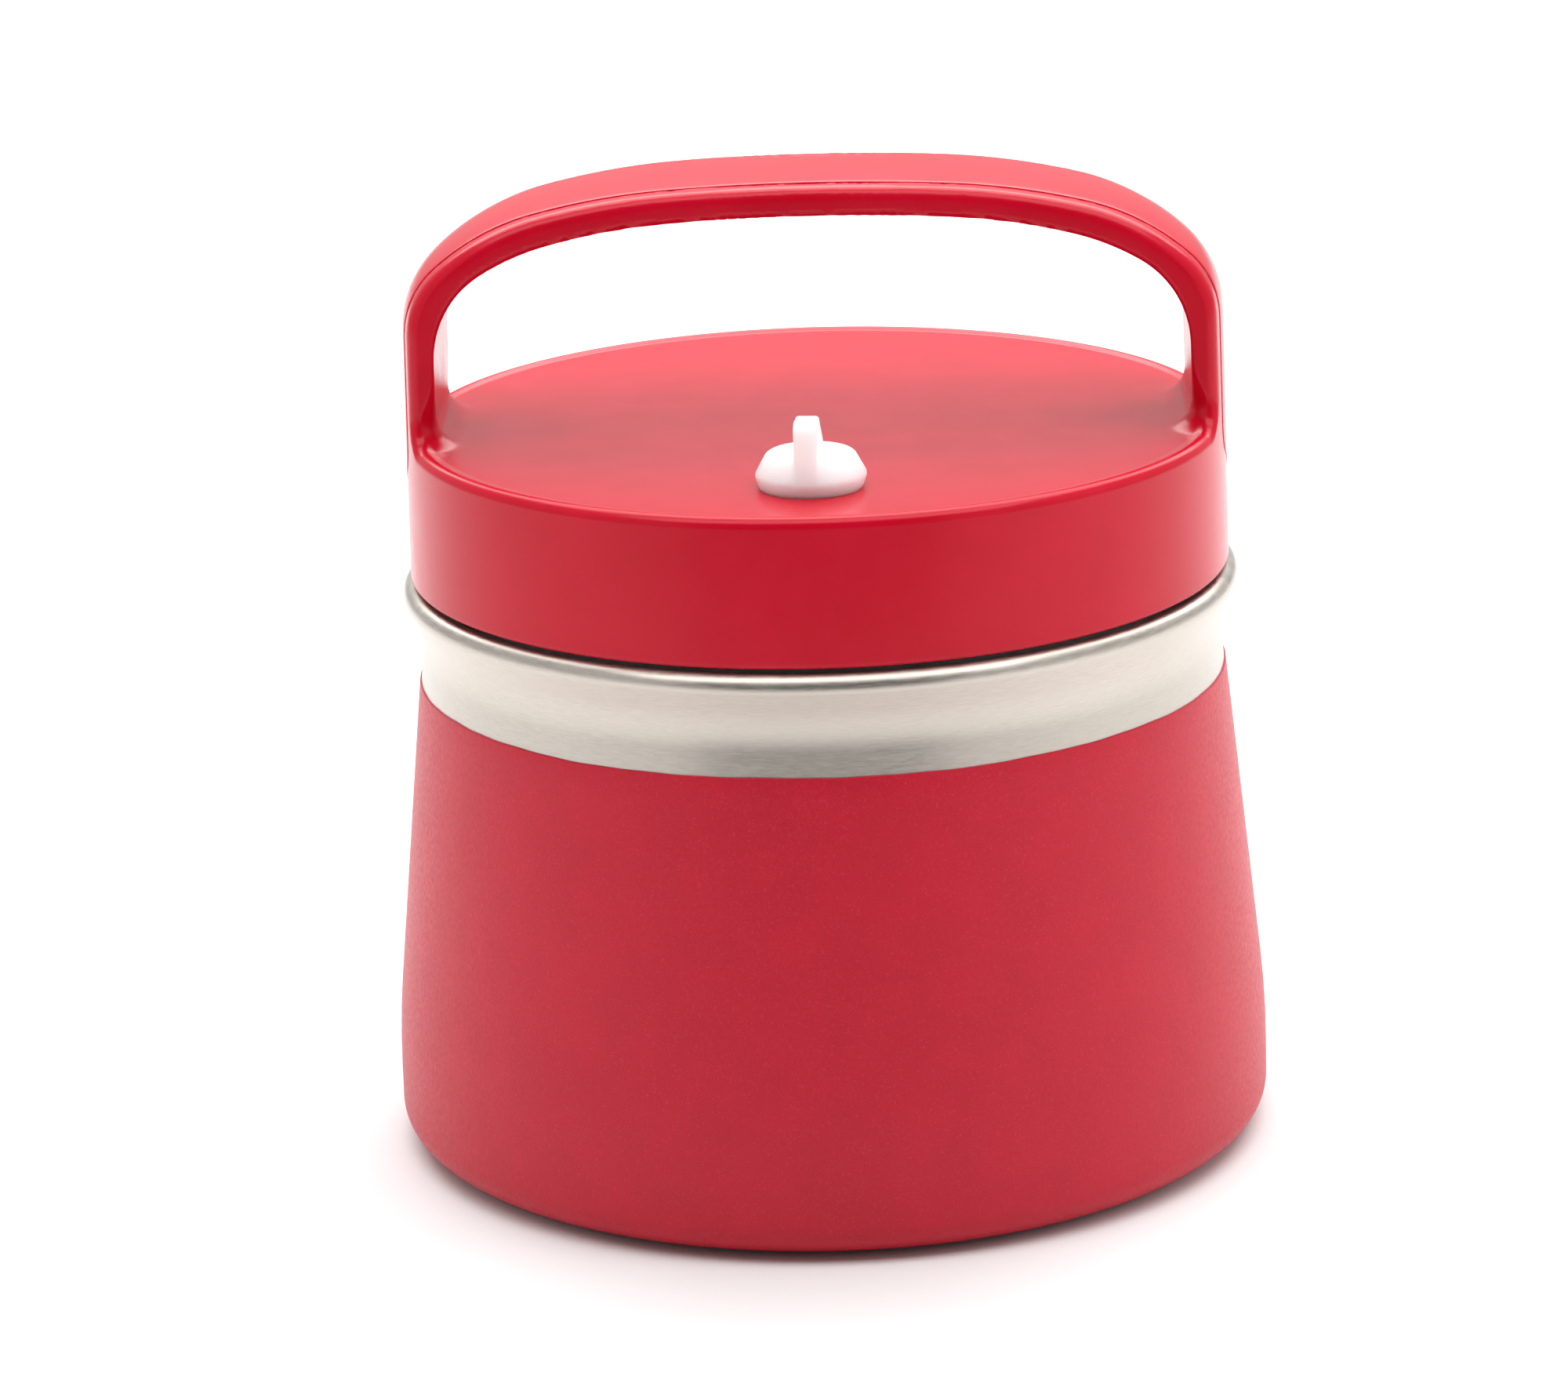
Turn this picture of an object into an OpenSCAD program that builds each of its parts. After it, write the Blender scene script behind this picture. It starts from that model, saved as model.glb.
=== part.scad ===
// Vacuum-insulated lunch jar with a screw lid and a fixed loop handle.
// Millimetres, +Z up. The origin is the centre of the base, on the surface the jar stands on.
// -Y is the front, where the vent plug is. The handle spans X.

/* [Jar] */
// Radius of the painted body where it is widest
body_r = 75; // [74:0.5:78]
// Radius of the bare steel at the neck, just under the lip
neck_r = 67.6; // [67.2:0.1:68]
// Height of the rolled lip's top
lip_top = 98.7; // [98:0.1:99]
// Radius of the rolled lip in section
lip_round = 2.2; // [1.8:0.1:2.2]
// Height of the edge where the paint stops
paint_line = 81.3; // [70:0.5:84]
// Radius of the body's bottom edge
base_round = 5.8; // [3:0.2:8]
// Clearance between the body and the surface, which the foot pad makes
foot_lift = 1; // [0.6:0.1:2]
// Thickness of the steel sheet
steel_t = 0.6; // [0.4:0.1:0.7]
// Thickness of the paint
paint_t = 0.3; // [0.2:0.05:0.4]

/* [Screw thread] */
// Axial travel of the lid in one turn
thread_lead = 12; // [11:0.5:13]
// Number of thread starts
thread_starts = 2; // [1:1:2]

/* [Lid] */
// Outer radius of the lid at its bottom edge
lid_r = 69.4; // [69:0.1:70]
// Gap between the lip's top and the lid's bottom edge
lid_gap = 0.8; // [0.6:0.1:1.2]
// Height of the lid from its bottom edge to its raised rim
lid_h = 24.7; // [24:0.1:28]
// Depth of the dished top below the rim
dish_depth = 0.4; // [0.3:0.1:2]
// Radius of the lid's top edge
rim_round = 1.8; // [1:0.1:2]
// Draft angle of the lid's side and of the handle's legs
draft = 0.95; // [0.5:0.05:1.2]

/* [Handle] */
// Height of the handle's crest above the lid's rim
handle_rise = 42.4; // [36:0.2:50]
// Width of the handle, front to back
handle_w = 32; // [26:1:36]
// Thickness of the handle at its crest
handle_t = 4.9; // [4.5:0.1:6]
// Thickness of the handle's legs
leg_t = 6; // [5:0.1:7]
// Radius of the handle's shoulders
shoulder_r = 39.4; // [36:0.2:42]
// Fillet where a leg meets the lid's top
root_fillet = 5; // [4:0.5:12]
// Width of the strap inlaid in the handle
strap_w = 22.6; // [16:0.2:24]

/* [Vent] */
// Distance of the vent plug in front of the lid's centre
vent_y = 46.5; // [36:0.5:47]
// Width of the vent plug's cap
vent_cap = 18.2; // [16:0.2:20]
// Height of the vent plug's pull tab above the lid's top
vent_tab_h = 12.5; // [12:0.5:15]
// Turn of the vent plug in its bore, clockwise from above
vent_turn = 5; // [0:1:15]
// Radius of the vent bore
vent_bore_r = 3.6; // [3:0.1:4]

/* [Hidden] */
$fn = 96;
arc_step = 9;                        // degrees of arc to one facet of a rounded outline

// Jar heights and radii
steel_r = body_r - paint_t;
base_z = foot_lift + paint_t;        // underside of the steel shell
shoulder_z = 20.3;                   // where the body's side would bend, before it is rounded
shoulder_bend = 147;
flare_angle = 25;                    // of the lip's flare, from vertical
neck_round = 14;
bead_c = [neck_r + 1, lip_top - lip_round];
bead_in = bead_c.x - lip_round;      // radius of the lip's inner face
flare_top = lip_round * (1 + sin(flare_angle)) / cos(flare_angle);
flare_r = bead_c.x + lip_round * cos(flare_angle) + flare_top * sin(flare_angle);
neck_z = lip_top - (flare_r - neck_r) / tan(flare_angle);
lap_z = lip_top - 4.2;               // lower end of the lap between shell and liner
floor_z = 11.5;                      // inside bottom of the liner
plate_r = 66;                        // recess in the base
plate_z = 6;                         // top of the vacuum bottom
cap_z = 4.6;                         // top of the base cap
liner_hole_r = 56;

// Mouth, thread and gasket
liner_r = 64;                        // inner radius of the liner behind its thread
ridge_h = 1.5;                       // height of a thread ridge
thread_gap = 0.7;                    // a crest to the wall that it faces
pan_r = liner_r - ridge_h - thread_gap;
ledge_top = 81;
ledge_in = 60.6;
ledge_z = ledge_top - (liner_r - ledge_in);
thread_z = ledge_top + 0.6;          // centre of the liner's ridge where it starts
thread_step = 10;                    // degrees to one facet of a ridge
gasket_z = ledge_top + 1;            // top of the gasket's groove
groove_r = 57;
groove_h = 3.6;
pan_z = gasket_z - groove_h - 1.4;   // underside of the pan
fit = 0.05;                          // running clearance

// Lid
lid_z = lip_top + lid_gap;
rim_z = lid_z + lid_h;
lid_top = rim_z - dish_depth;
skirt_in = lid_r - 2.4;
lid_wall = 2.2;
ceiling_z = lid_top - lid_wall;
wall_t = 2;                          // moulded walls of the pan
flange_z = lid_z + 0.4;
crest_z = rim_z + handle_rise;
// Radius and final slope of the handle's bends, from the crest outwards
outer_bends = [[400, 3.6], [116, 14.6], [shoulder_r, 42.3]];
inner_bends = [[364, 3.6], [109, 14.6], [shoulder_r + 2, 31]];
arc_share = 0.97;                    // of a bend's corner that its arc takes up
strap_depth = 1.4;
strap_proud = 0.3;
tongue_z = lid_z + 14.5;             // tip of the strap's tongues
tongue_len = 6;

steel = [0.80, 0.77, 0.72];
red_paint = [0.70, 0.12, 0.19];
red_plastic = [0.78, 0.03, 0.14];
white_silicone = [0.97, 0.96, 0.94];

// ---- Outlines: a corner is [r, z, radius], rounded by an arc of that radius ----

function unit(v) = v / norm(v);
function left(v) = [-v.y, v.x];
function xy(p) = [p.x, p.y];
function turn(u, v) = u.x * v.y - u.y * v.x;

// Points of the arc that rounds corner b between a and c
function corner(a, b, c, rad) =
    let (u = unit(a - b), v = unit(c - b), half = acos(u * v) / 2)
    rad <= 0 || half > 89.9 ? [b] :
    let (centre = b + unit(u + v) * rad / sin(half),
         p = b + u * rad / tan(half) - centre,
         q = b + v * rad / tan(half) - centre,
         a0 = atan2(p.y, p.x),
         raw = atan2(q.y, q.x) - a0,
         sweep = raw > 180 ? raw - 360 : raw < -180 ? raw + 360 : raw,
         steps = ceil(abs(sweep) / arc_step) + 1)
    [for (i = [0:steps]) centre + rad * [cos(a0 + sweep * i / steps), sin(a0 + sweep * i / steps)]];

// A closed outline with its corners rounded
function outline(pts) =
    let (n = len(pts))
    [for (i = [0:n - 1])
        each corner(xy(pts[(i + n - 1) % n]), xy(pts[i]), xy(pts[(i + 1) % n]), pts[i].z)];

// The open path moved t to its left, with its corners still on the same arc centres
function moved(path, t) =
    let (n = len(path),
         dirs = [for (i = [0:n - 2]) unit(xy(path[i + 1]) - xy(path[i]))],
         before = function (i) dirs[max(i - 1, 0)],
         after = function (i) dirs[min(i, n - 2)])
    [for (i = [0:n - 1])
        let (u = before(i), v = after(i), m = unit(left(u) + left(v)), p = xy(path[i]) + m * t / (m * left(u)),
             rad = i == 0 || i == n - 1 ? 0 : path[i].z - sign(turn(u, v)) * t)
        [p.x, p.y, rad]];

function rounded(path) =
    let (n = len(path))
    [for (i = [0:n - 1])
        each i == 0 || i == n - 1 ? [xy(path[i])] :
            corner(xy(path[i - 1]), xy(path[i]), xy(path[i + 1]), path[i].z)];

function reversed(list) = [for (i = [len(list) - 1:-1:0]) list[i]];

// Section of a sheet that follows the path, from t0 to t1 on its left
function sheet(path, t0, t1) = concat(rounded(moved(path, t0)), reversed(rounded(moved(path, t1))));

module lathe(points) rotate_extrude($fn = 128) polygon(points);

// Radius of the steel cone at height z, and of the lid's drafted side
function cone_r(z) = steel_r + (neck_r - steel_r) * (z - shoulder_z) / (neck_z - shoulder_z);
function side_r(z) = lid_r - (z - lid_z) * tan(draft);

// ---- Screw thread ----

// One helical ridge of trapezoid section, from angle a0 to a1, fading out at both ends.
// It stands on radius r and grows to r + h; a negative h makes it grow inwards.
module ridge(r, h, z, a0, a1) {
    n = ceil((a1 - a0) / thread_step);
    root = 0.35 * sign(h);
    section = [[-root, -1.5], [h, -0.7], [h, 0.7], [-root, 1.5]];
    fade = function (i) min(1, 0.15 + min(i, n - i) / 3);
    pts = [for (i = [0:n]) let (a = a0 + (a1 - a0) * i / n, k = fade(i))
           for (s = section)
           let (out = s.x == h ? h * k - root * (1 - k) : s.x)
           [(r + out) * cos(a), (r + out) * sin(a), z + thread_lead * a / 360 + s.y]];
    m = len(section);
    flip = h > 0;
    quads = [for (i = [0:n - 1]) for (j = [0:m - 1])
             [i * m + j, i * m + (j + 1) % m, (i + 1) * m + (j + 1) % m, (i + 1) * m + j]];
    halves = [for (q = quads) each [[q[0], q[1], q[2]], [q[0], q[2], q[3]]]];
    ends = [[3, 2, 1], [3, 1, 0], [n * m, n * m + 1, n * m + 2], [n * m, n * m + 2, n * m + 3]];
    polyhedron([for (p = pts) p], [for (f = concat(halves, ends)) flip ? f : reversed(f)]);
}

module thread(r, h, z, span) {
    for (s = [0:thread_starts - 1]) rotate([0, 0, s * 360 / thread_starts]) ridge(r, h, z, 0, span);
}

// ---- Jar ----

shell_path = [[plate_r, base_z], [steel_r, base_z, base_round - paint_t], [steel_r, shoulder_z, shoulder_bend],
              [neck_r, neck_z, neck_round], [flare_r, lip_top, lip_round], [bead_in, lip_top, lip_round],
              [bead_in, lap_z]];

module outer_shell() {
    color(steel) lathe(sheet(shell_path, 0, steel_t));
}

module powder_coat() {
    path = [[plate_r + 2.5, base_z], shell_path[1], shell_path[2], [cone_r(paint_line), paint_line]];
    color(red_paint) lathe(sheet(path, -paint_t, 0));
}

liner_path = [[bead_in - steel_t, lip_top - lip_round], [bead_in - steel_t, lap_z - 0.5, 1.5],
              [liner_r, lap_z - 2.3, 1.5], [liner_r, ledge_top, 1.5], [ledge_in, ledge_z, 1.5],
              [ledge_in, ledge_z - 4.6, 6], [steel_r - 5.9, floor_z, 12], [liner_hole_r, floor_z]];

module inner_liner() {
    color(steel) union() {
        lathe(sheet(liner_path, 0, steel_t));
        thread(liner_r, -ridge_h, thread_z, 300);
    }
}

module liner_bottom() {
    path = [[liner_hole_r, floor_z], [46, floor_z, 20], [34, floor_z + 1, 20], [0, floor_z + 1]];
    color(steel) lathe(sheet(path, 0, steel_t));
}

module copper_foil() {
    a = xy(liner_path[5]);
    b = xy(liner_path[6]);
    at = function (k) a + (b - a) * k;
    color([0.72, 0.45, 0.28]) lathe(sheet([at(0.08), at(0.72)], steel_t, steel_t + 0.2));
}

module vacuum_bottom() {
    color(steel) difference() {
        lathe(sheet([[plate_r, base_z], [plate_r, plate_z, 2], [0, plate_z]], 0, steel_t));
        translate([0, 0, plate_z - 2]) cylinder(r = 1.2, h = 4);
    }
}

module port_seal() {
    bead_z = plate_z - steel_t;
    color([0.35, 0.36, 0.38]) union() {
        translate([0, 0, bead_z]) cylinder(r = 1.2, h = steel_t);
        translate([0, 0, bead_z - 0.6]) cylinder(r1 = 2, r2 = 3, h = 0.6);
    }
}

getter_y = 34;
getter_h = 2.6;

module getter_pill() {
    color([0.45, 0.45, 0.47]) translate([0, getter_y, plate_z]) cylinder(r = 7, h = getter_h);
}

module getter_clip() {
    top = plate_z + getter_h;
    path = [[-12, plate_z], [-8, plate_z, 0.6], [-8, top, 0.6], [8, top, 0.6], [8, plate_z, 0.6], [12, plate_z]];
    color(steel) translate([0, getter_y + 2.5, 0]) rotate([90, 0, 0])
        linear_extrude(5) polygon(sheet(path, 0, 0.5));
}

module base_cap() {
    r = plate_r - steel_t;
    color(steel) lathe(sheet([[r, base_z + 0.4], [r, cap_z, 1.6], [0, cap_z]], 0, steel_t));
}

module foot_pad() {
    top = cap_z - steel_t;
    color([0.25, 0.24, 0.24]) lathe(outline([[48, 0, 0.8], [62, 0, 1], [62, top, 0.4], [48, top, 0.4]]));
}

// ---- Lid ----

module lid_gasket() {
    z0 = gasket_z - groove_h + fit;
    z1 = gasket_z - fit;
    color([0.93, 0.92, 0.9])
        lathe([[groove_r + fit, z0], [60.9, z0], [61.5, z0 + 0.6], [61.5, z1], [groove_r + fit, z1]]);
}

// Corners of the handle's outline from point at outwards, each arc tangent to the one before.
// The last corner is where the outline meets the lid's drafted side, moved in by inset.
function bends(at, slope, arcs, inset) =
    let (dir = [cos(slope), -sin(slope)])
    len(arcs) == 0 ?
        let (reach = (side_r(at.y) - inset - at.x) / (dir.x + dir.y * tan(draft)), v = at + dir * reach)
        [[v.x, v.y, arc_share * reach / tan((90 - draft - slope) / 2)]] :
    let (next = arcs[0], t = next[0] * tan((next[1] - slope) / 2), v = at + dir * t,
         rest = [for (i = [1:1:len(arcs) - 1]) arcs[i]])
    concat([[v.x, v.y, arc_share * next[0]]],
           bends(v + t * [cos(next[1]), -sin(next[1])], next[1], rest, inset));

// Outline of the handle's outer face, which also gives the lid's drafted side
face_path = concat([[side_r(lid_z), lid_z]], reversed(bends([0, crest_z], 0, outer_bends, 0)),
                   [[0, crest_z]]);

// Outline of its inner face, which leaves the handle thicker towards the legs
inner_z = crest_z - handle_t;
inner_path = concat([[side_r(lid_z) - leg_t, lid_z]], reversed(bends([0, inner_z], 0, inner_bends, leg_t)),
                    [[0, inner_z]]);

// Everything within t of the handle's outer face, which is crowned as the lid is round
module handle_form(t) {
    face = rounded(moved(face_path, -t));
    lathe(concat([[0, face[0].y]], face));
}

// Plan of the strap seen from the side: straight above, with pointed tongues below
module strap_mask() {
    w = strap_w / 2;
    shape = outline([[0, tongue_z, 1.2], [w, tongue_z + tongue_len, 6], [w, crest_z + 5, 0], [-w, crest_z + 5, 0],
                     [-w, tongue_z + tongue_len, 6]]);
    translate([-100, 0, 0]) rotate([90, 0, 90]) linear_extrude(200) polygon(shape);
}

// Opening that a hand goes through, and the lid's top below it
module handle_window() {
    leg_x = side_r(lid_top) - leg_t;
    right = concat(corner([0, lid_top], [leg_x, lid_top], xy(inner_path[1]), root_fillet),
                   [for (p = rounded(inner_path)) if (p.y > lid_top + root_fillet + 1) p]);
    shape = concat(right, [for (p = reversed(right)) [-p.x, p.y]]);
    translate([0, handle_w, 0]) rotate([90, 0, 0]) linear_extrude(2 * handle_w) polygon(shape);
}

module handle_frame() {
    low = ceiling_z + 0.2;
    intersection() {
        handle_form(-fit);
        translate([-100, -handle_w / 2, low]) cube([200, handle_w, 100]);
    }
}

module lid_shell() {
    rim_r = side_r(rim_z);
    bead_w = 2.3;                    // width of the raised bead round the top
    cap = outline([[skirt_in, lid_z, 0.4], [side_r(lid_z), lid_z, 0.8], [rim_r, rim_z, rim_round],
                   [rim_r - bead_w, rim_z, 0.6], [rim_r - bead_w - 0.6, lid_top, 0.5], [0, lid_top, 0],
                   [0, ceiling_z, 0], [skirt_in, ceiling_z, 2.5]]);
    color(red_plastic) difference() {
        union() {
            lathe(cap);
            difference() {
                handle_frame();
                handle_window();
            }
        }
        difference() {
            strap_mask();
            handle_form(-strap_depth);
        }
        translate([0, -vent_y, ceiling_z - 5]) cylinder(r = vent_bore_r, h = 20);
    }
}

module handle_strap() {
    color(red_plastic) intersection() {
        difference() {
            handle_form(strap_proud);
            handle_form(-strap_depth);
        }
        strap_mask();
    }
}

module lid_pan() {
    spigot = groove_r;
    cup = [[0, pan_z], [spigot + 1.5, pan_z], [spigot + 1.5, gasket_z - groove_h], [spigot, gasket_z - groove_h],
           [spigot, gasket_z], [pan_r, gasket_z], [pan_r, flange_z], [skirt_in, flange_z],
           [skirt_in, flange_z + wall_t], [pan_r - wall_t, flange_z + wall_t], [pan_r - wall_t, gasket_z + wall_t],
           [spigot - wall_t, gasket_z + wall_t], [spigot - wall_t, pan_z + wall_t], [0, pan_z + wall_t]];
    color([0.85, 0.85, 0.84]) difference() {
        union() {
            lathe(cup);
            thread(pan_r, ridge_h, thread_z + thread_lead / thread_starts / 2, 250);
            translate([0, -vent_y, pan_z]) cylinder(r = vent_bore_r + wall_t, h = ceiling_z - pan_z);
        }
        translate([0, -vent_y, pan_z - 5]) cylinder(r = vent_bore_r, h = 80);
    }
}

module lid_foam() {
    step_z = gasket_z + wall_t;
    gap = 0.3;
    color([0.96, 0.95, 0.92]) difference() {
        lathe([[0, pan_z + wall_t], [groove_r - wall_t - gap, pan_z + wall_t], [groove_r - wall_t - gap, step_z],
               [pan_r - wall_t - gap, step_z], [pan_r - wall_t - gap, ceiling_z - gap], [0, ceiling_z - gap]]);
        translate([0, -vent_y, pan_z - 5]) cylinder(r = vent_bore_r + wall_t + gap, h = 80);
    }
}

module vent_plug() {
    r = vent_cap / 2;
    stem = vent_bore_r - fit;
    stem_h = 11;
    edge_z = 2.2;                    // the cap is widest here
    crown_z = 6.1;
    crown_r = r - 2.15;
    foot_r = r - 0.7;
    tab_w = 4;
    wall = 1.9;                      // of the tab's loop
    front = 8.4;                     // of the tab, from the plug's axis
    top = vent_tab_h;
    color(white_silicone) translate([0, -vent_y, lid_top]) rotate([0, 0, -vent_turn]) union() {
        lathe([[0, -stem_h], [stem - 0.5, -stem_h], [stem, 0.5 - stem_h], [stem, 0], [foot_r, 0], [r, edge_z],
               [crown_r, crown_z], [0, crown_z]]);
        translate([-tab_w / 2, 0, 0]) rotate([90, 0, 90]) linear_extrude(tab_w) difference() {
            polygon(outline([[-front, edge_z + 0.6, 0], [-front, top, 1.8], [-2.8, top, 2.4],
                             [4.8, crown_z - 1, 0], [0, crown_z - 2, 0]]));
            polygon(outline([[wall - front, crown_z + 0.6, 0.5], [wall - front, top - wall, 0.8],
                             [-3.5, top - wall, 1], [1, crown_z + 0.6, 0.5]]));
        }
    }
}

outer_shell();
powder_coat();
inner_liner();
liner_bottom();
copper_foil();
vacuum_bottom();
port_seal();
getter_pill();
getter_clip();
base_cap();
foot_pad();
lid_gasket();
lid_shell();
handle_strap();
lid_pan();
lid_foam();
vent_plug();
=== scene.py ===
"""Looks of the insulated lunch jar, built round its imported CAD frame.

Lengths are in mm until a mesh is made. -Y is the front and the handle spans X.
"""

import math

import bpy
import numpy as np
from mathutils import Matrix, Vector


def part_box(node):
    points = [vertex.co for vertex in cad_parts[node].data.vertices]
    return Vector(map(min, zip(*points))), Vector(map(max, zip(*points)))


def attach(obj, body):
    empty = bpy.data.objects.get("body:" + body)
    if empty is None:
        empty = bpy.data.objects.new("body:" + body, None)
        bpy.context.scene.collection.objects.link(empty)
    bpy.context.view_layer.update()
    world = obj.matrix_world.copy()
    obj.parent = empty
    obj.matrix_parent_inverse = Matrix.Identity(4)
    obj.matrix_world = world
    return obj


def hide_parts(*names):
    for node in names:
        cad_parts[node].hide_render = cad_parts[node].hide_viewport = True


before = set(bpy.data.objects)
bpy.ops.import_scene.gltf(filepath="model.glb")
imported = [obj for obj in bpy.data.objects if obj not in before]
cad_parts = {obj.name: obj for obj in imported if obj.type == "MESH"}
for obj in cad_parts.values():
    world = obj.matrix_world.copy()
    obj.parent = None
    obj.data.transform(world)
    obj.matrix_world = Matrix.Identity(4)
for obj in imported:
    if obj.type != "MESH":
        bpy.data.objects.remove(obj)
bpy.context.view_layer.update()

MM = 0.001
TAU = 2 * math.pi


def cad(node, corner, axis):
    """A coordinate in mm of a CAD node's box: corner 0 is the lowest and 1 the highest."""
    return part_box(node)[corner][axis] / MM


# ---- Dimensions, from the CAD's boxes or the same as in its source, unless a comment says otherwise ----

# Jar
BODY_R = cad("powder_coat", 1, 0)
PAINT_T = 0.3
STEEL_T = 0.6
STEEL_R = BODY_R - PAINT_T
BASE_Z = cad("outer_shell", 0, 2)
BASE_ROUND = 5.8
SHOULDER = (STEEL_R, 20.3, 147.0)    # where the side bends: r, z, radius
NECK_R = 67.6
LIP_TOP = cad("outer_shell", 1, 2)
LIP_ROUND = 2.2
FLARE = math.radians(25)             # of the lip's flare, from vertical
NECK_ROUND = 14.0
BEAD_R = NECK_R + 1.0
BEAD_IN = BEAD_R - LIP_ROUND
FLARE_TOP = LIP_ROUND * (1 + math.sin(FLARE)) / math.cos(FLARE)
FLARE_R = BEAD_R + LIP_ROUND * math.cos(FLARE) + FLARE_TOP * math.sin(FLARE)
NECK_Z = LIP_TOP - (FLARE_R - NECK_R) / math.tan(FLARE)
LAP_Z = LIP_TOP - 4.2                # lower end of the lap between shell and liner
PAINT_LINE = cad("powder_coat", 1, 2)
FLOOR_Z = 11.5                       # inside bottom of the liner
PLATE_R = 66.0                       # recess in the base
PLATE_Z = 6.0                        # top of the vacuum bottom
CAP_Z = 4.6                          # top of the base cap
LINER_HOLE_R = 56.0

# Thread, ledge and gasket groove
LEAD = 12.0
STARTS = 2
LINER_R = 64.0
RIDGE_H = 1.5
LINER_SPAN, PAN_SPAN = 300, 250      # degrees that a ridge runs round
PAN_R = 61.8
LEDGE_TOP = 81.0
LEDGE_IN = 60.6
LEDGE_Z = LEDGE_TOP - (LINER_R - LEDGE_IN)
THREAD_Z = LEDGE_TOP + 0.6
GROOVE_TOP = LEDGE_TOP + 1.0
GROOVE_R = 57.0
GROOVE_H = 3.6
PAN_Z = cad("lid_pan", 0, 2)

# Lid
LID_Z = cad("lid_shell", 0, 2)
LID_R = cad("lid_shell", 1, 0)
RIM_Z = LID_Z + 24.7
LID_TOP = RIM_Z - 0.4
DRAFT = math.radians(0.95)
SKIRT_IN = LID_R - 2.4
CEILING_Z = LID_TOP - 2.2
FLANGE_Z = LID_Z + 0.4
WALL_T = 2.0
RIM_ROUND = 1.8
BEAD_IN_R = LID_R - (RIM_Z - LID_Z) * math.tan(DRAFT) - 3.5      # where the dished top starts to rise
BEAD_SLOPE_W = 1.8                   # width of that rise to the rim
SKIRT_EDGE = 0.7                     # rounding of the skirt's bottom edge

# Handle and strap
HANDLE_W = 32.0
HANDLE_T = 4.9
LEG_T = 6.0
LOOP_EDGE = 1.9                      # rounding of the handle's outer edges
INNER_EDGE = 0.55                    # of its inner edges
FOOT_EDGE = 4.95                     # of its inner edges where a leg meets the lid
FOOT_H = 12.0                        # height over which the one turns into the other
ROOT_FILLET = 5.0
STRAP_RISE = 0.12                    # less than the CAD's
STRAP_SEAM = 0.15                    # depth left free under the strap
STRAP_LAP = 0.3                      # the strap's edge laps over its channel by this
STRAP_DEPTH = 1.4
STRAP_W = 22.6
TONGUE_Z = cad("handle_strap", 0, 2)
TONGUE_LEN = 6.0

# Vent plug
VENT_Y = 46.5
VENT_BORE = 3.6
VENT_FIT = 0.05
VENT_TAB_H = 12.5
VENT_TURN = math.radians(5)


def side_r(z):
    return LID_R - (z - LID_Z) * math.tan(DRAFT)


# The handle's bends from the crest outwards: radius and final slope in degrees
CREST_Z = RIM_Z + 42.4
OUTER_BENDS = [(400.0, 3.6), (116.0, 14.6), (39.4, 42.3)]
INNER_BENDS = [(364.0, 3.6), (109.0, 14.6), (41.4, 31.0)]


# ---- Outlines: a corner is (r, z, radius) ----

STRAIGHT = math.radians(89.9)        # half the angle of a corner that is too flat to round


def unit(v):
    v = np.asarray(v, float)
    return v / np.linalg.norm(v)


def left(v):
    """v turned a quarter to the left."""
    return np.array([-v[1], v[0]])


def corner(a, b, c, rad, step=4.0):
    """Points of the arc that rounds corner b between a and c."""
    a, b, c = (np.asarray(p[:2], float) for p in (a, b, c))
    if rad <= 0:
        return [b]
    u, v = unit(a - b), unit(c - b)
    half = math.acos(max(-1, min(1, float(u @ v)))) / 2
    if half > STRAIGHT:
        return [b]
    centre = b + unit(u + v) * rad / math.sin(half)
    p = b + u * rad / math.tan(half) - centre
    q = b + v * rad / math.tan(half) - centre
    a0 = math.atan2(p[1], p[0])
    sweep = (math.atan2(q[1], q[0]) - a0 + math.pi) % TAU - math.pi
    n = max(3, math.ceil(abs(math.degrees(sweep)) / step))
    return [centre + rad * np.array([math.cos(a0 + sweep * i / n), math.sin(a0 + sweep * i / n)])
            for i in range(n + 1)]


def outline(pts):
    """A closed outline with its corners rounded."""
    n = len(pts)
    return [q for i in range(n) for q in corner(pts[i - 1], pts[i], pts[(i + 1) % n], pts[i][2])]


def moved(path, t):
    """The open path moved t to its left, its corners still on the same arc centres."""
    n = len(path)
    p = [np.asarray(q[:2], float) for q in path]
    dirs = [unit(p[i + 1] - p[i]) for i in range(n - 1)]
    out = []
    for i in range(n):
        u, v = dirs[max(i - 1, 0)], dirs[min(i, n - 2)]
        m = unit(left(u) + left(v))
        at = p[i] + m * t / float(m @ left(u))
        turn = u[0] * v[1] - u[1] * v[0]
        rad = 0 if i in (0, n - 1) else path[i][2] - np.sign(turn) * t
        out.append((at[0], at[1], rad))
    return out


def rounded(path):
    """Points of the open path with its inner corners rounded."""
    n = len(path)
    return [q for i in range(n) for q in (
        [np.asarray(path[i][:2], float)] if i in (0, n - 1)
        else corner(path[i - 1], path[i], path[i + 1], path[i][2]))]


def sheet(path, t0, t1):
    """Section of a sheet that follows the path, from t0 to t1 on its left."""
    return rounded(moved(path, t0)) + rounded(moved(path, t1))[::-1]


def resampled(pts, step, low=-1e9, high=1e9):
    """A closed outline with extra points no further than step apart, between two heights."""
    out = []
    for a, b in zip(pts, pts[1:] + pts[:1]):
        a, b = np.asarray(a, float), np.asarray(b, float)
        n = max(1, math.ceil(np.linalg.norm(b - a) / step)) if low < (a[1] + b[1]) / 2 < high else 1
        out += [a + (b - a) * i / n for i in range(n)]
    return out


# ---- Meshes ----

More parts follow.
